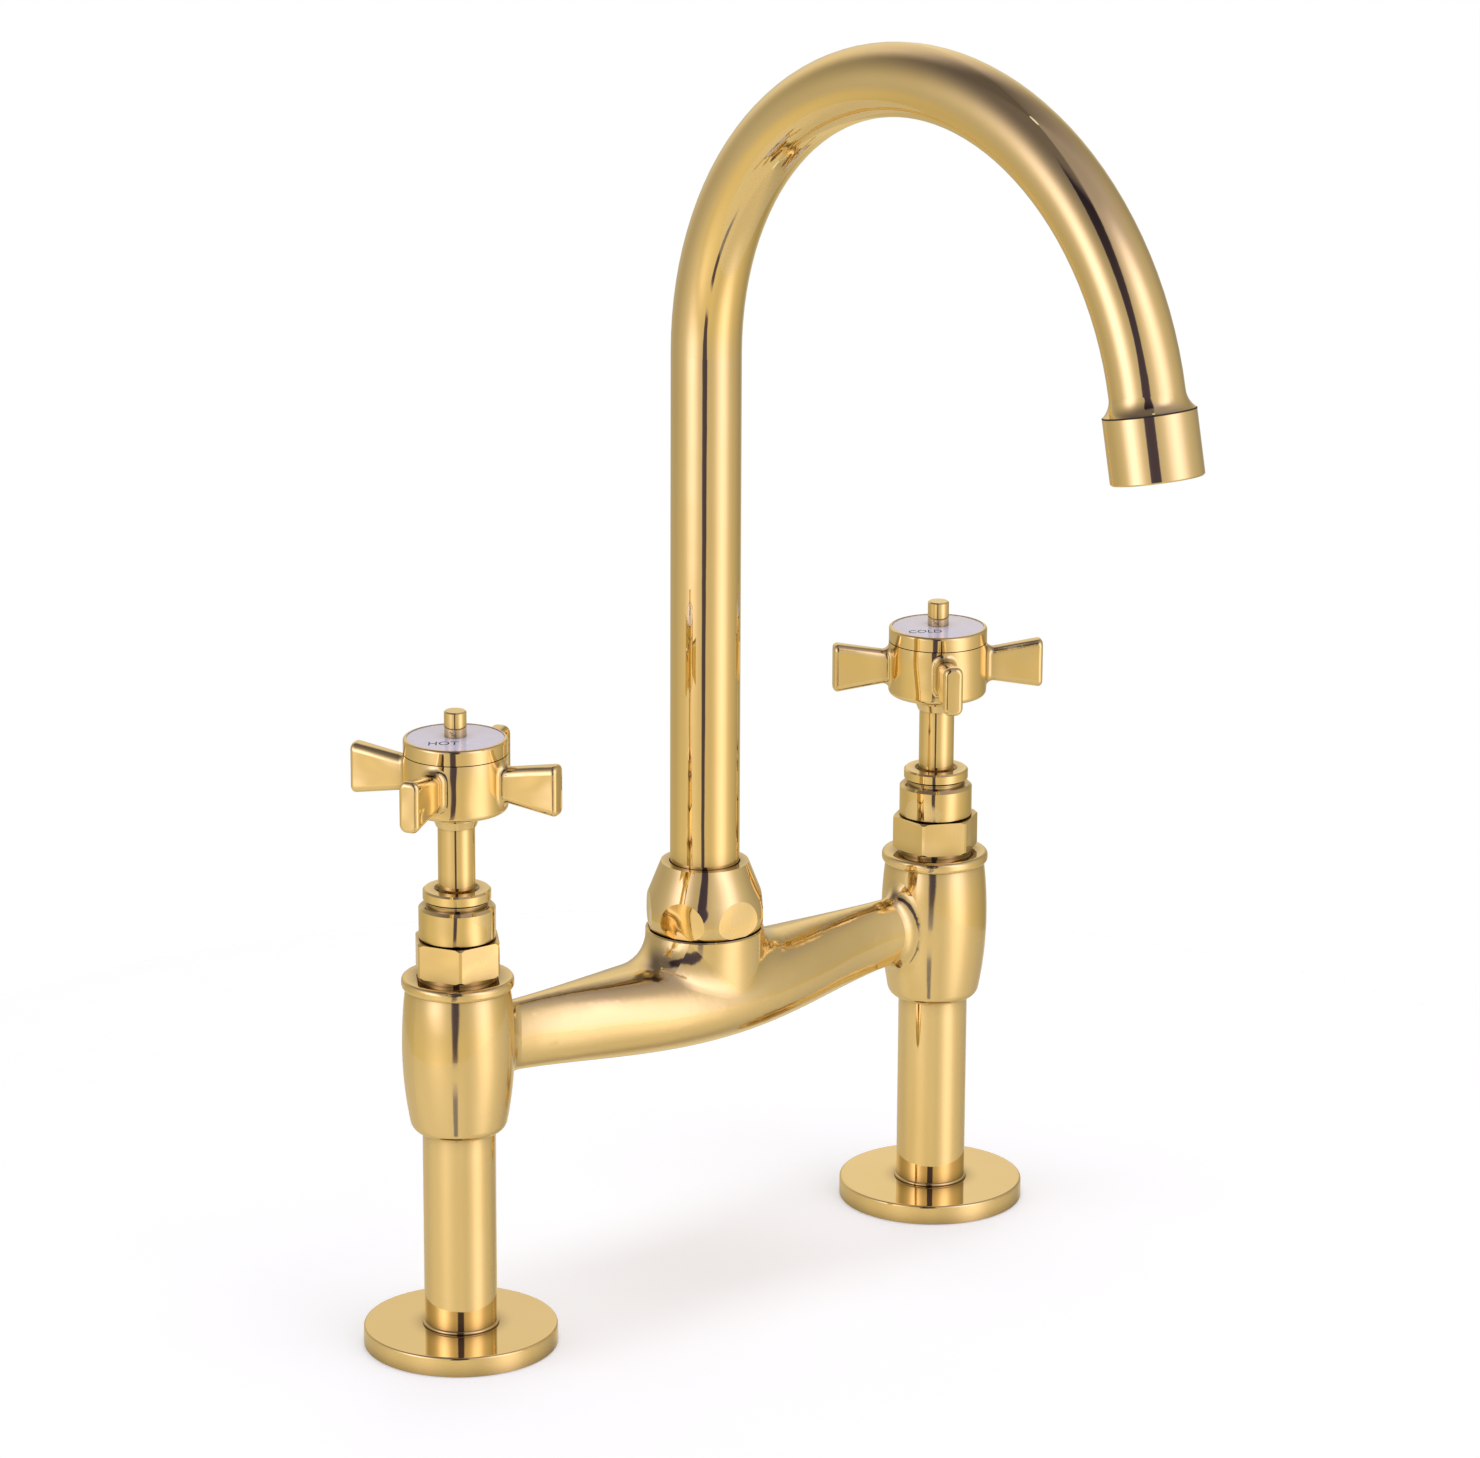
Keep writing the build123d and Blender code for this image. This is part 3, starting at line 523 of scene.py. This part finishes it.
def white_world():
    """White behind the tap for the camera. The tent hides it from the tap."""
    world = bpy.data.worlds.new("studio")
    bpy.context.scene.world = world
    world.use_nodes = True
    background = world.node_tree.nodes["Background"]
    background.inputs["Color"].default_value = WHITE
    background.inputs["Strength"].default_value = 1.0


def camera():
    """Camera with the photo's view."""
    azimuth = math.radians(CAMERA_AZIMUTH)
    elevation = math.radians(CAMERA_ELEVATION)
    level = math.cos(elevation)
    back = Vector((math.sin(azimuth) * level, -math.cos(azimuth) * level, math.sin(elevation)))
    data = bpy.data.cameras.new("camera")
    data.sensor_width = CAMERA_SENSOR
    data.lens = CAMERA_LENS
    eye = place("camera", data)
    turn = (-back).to_track_quat("-Z", "Y").to_matrix().to_4x4()
    roll = Matrix.Rotation(math.radians(CAMERA_ROLL), 4, "Z")
    eye.matrix_world = Matrix.Translation(CAMERA_TARGET + CAMERA_DISTANCE * back) @ turn @ roll
    bpy.context.scene.camera = eye


def word_mesh(word, name, height):
    """Flat mesh of a word, centred on the origin."""
    curve = bpy.data.curves.new(name, "FONT")
    curve.body = word
    curve.size = height
    curve.align_x = "CENTER"
    curve.align_y = "CENTER"
    curve.extrude = WORD_THICKNESS
    curve.resolution_u = WORD_RESOLUTION
    text = place(f"{name}_curve", curve)
    bpy.context.view_layer.update()
    shape = text.evaluated_get(bpy.context.evaluated_depsgraph_get())
    mesh = bpy.data.meshes.new_from_object(shape)
    bpy.data.objects.remove(text)
    bpy.data.curves.remove(curve)
    return mesh


def lettering(word, side, height, right, front):
    """Word on a valve's index disc, laid on the disc's crown and upright for someone at the camera."""
    disc = nodes[f"{side}_index_disc"]
    points = np.array([disc.matrix_world @ vertex.co for vertex in disc.data.vertices])
    low, high = points.min(axis=0), points.max(axis=0)
    middle = (low + high) / 2
    reach = (high[0] - low[0]) / 2
    from_axis = np.hypot(points[:, 0] - middle[0], points[:, 1] - middle[1])
    rim = points[from_axis > reach - RIM_WIDTH]
    crown = high[2] - rim[:, 2].max()
    mesh = word_mesh(word, f"{side}_word", height)
    azimuth = math.radians(CAMERA_AZIMUTH)
    along = Vector((math.cos(azimuth), math.sin(azimuth)))
    up = Vector((-along.y, along.x))
    for vertex in mesh.vertices:
        flat = (vertex.co.x + right) * along + (vertex.co.y - front) * up
        drop = crown * flat.length_squared / reach ** 2
        vertex.co = (middle[0] + flat.x, middle[1] + flat.y, high[2] - drop + vertex.co.z)
    mesh.materials.append(materials["index_ink"])
    piece = place(f"{side}_index_word", mesh)
    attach(piece, f"{side}_valve")


def ring(name, middle, across, along, radius, thickness, slot, body):
    """Thin ring about a middle, in the plane of two unit vectors, that rides on a body."""
    around, section = np.meshgrid(
        np.linspace(0.0, 2 * math.pi, RING_STEPS, endpoint=False),
        np.linspace(0.0, 2 * math.pi, RING_SIDES, endpoint=False),
        indexing="ij",
    )
    around, section = around[..., None], section[..., None]
    outward = np.cos(around) * across + np.sin(around) * along
    axis = np.cross(across, along)
    points = middle + (radius + thickness * np.cos(section)) * outward + thickness * np.sin(section) * axis
    mesh = woven(name, points, closed=True)
    mesh.shade_smooth()
    mesh.materials.append(materials[slot])
    piece = place(name, mesh)
    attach(piece, body)


def foot_bead(side):
    """Bead round the pillar where it stands on the flange."""
    low, high = (np.array(corner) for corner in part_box(f"{side}_pillar"))
    middle = (low + high) / 2
    middle[2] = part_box(f"{side}_base_flange")[1][2] + BEAD_RISE
    radius = (high[0] - low[0]) / 2
    ring(f"{side}_foot_bead", middle, X_AXIS, Y_AXIS, radius, BEAD_R, "polished_brass", "tap_body")


def nozzle_gap_shadow():
    """Dark ring of painted shadow in the gap between the spout's flared end and the nozzle, a thin dark line.
    """
    tilt = math.radians(NOZZLE_TILT)
    flow = np.array((0.0, -math.sin(tilt), -math.cos(tilt)))
    along = np.cross(flow, X_AXIS)
    sleeve = np.array([vertex.co for vertex in nodes["nozzle_sleeve"].data.vertices])
    places = sleeve @ np.stack([X_AXIS, along, flow], axis=-1)
    low, high = places.min(axis=0), places.max(axis=0)
    middle = (low + high) / 2
    top = middle[0] * X_AXIS + middle[1] * along + low[2] * flow
    radius = (high[0] - low[0]) / 2 - GAP_SHADOW_SUNK
    # Painted shadow: a thin black ring in the gap's place, in the rubber material
    ring("nozzle_gap_shadow", top, X_AXIS, along, radius, GAP_SHADOW_R, "rubber", "spout")


for valve in VALVES:
    foot_bead(valve)
nozzle_gap_shadow()
lettering("HOT", "hot", height=0.0040, right=-0.0030, front=0.0072)
lettering("COLD", "cold", height=0.0036, right=-0.0040, front=0.0072)
light_tent()
overhead_lamp()
table()
white_world()
camera()
bpy.context.scene.view_settings.view_transform = "Standard"
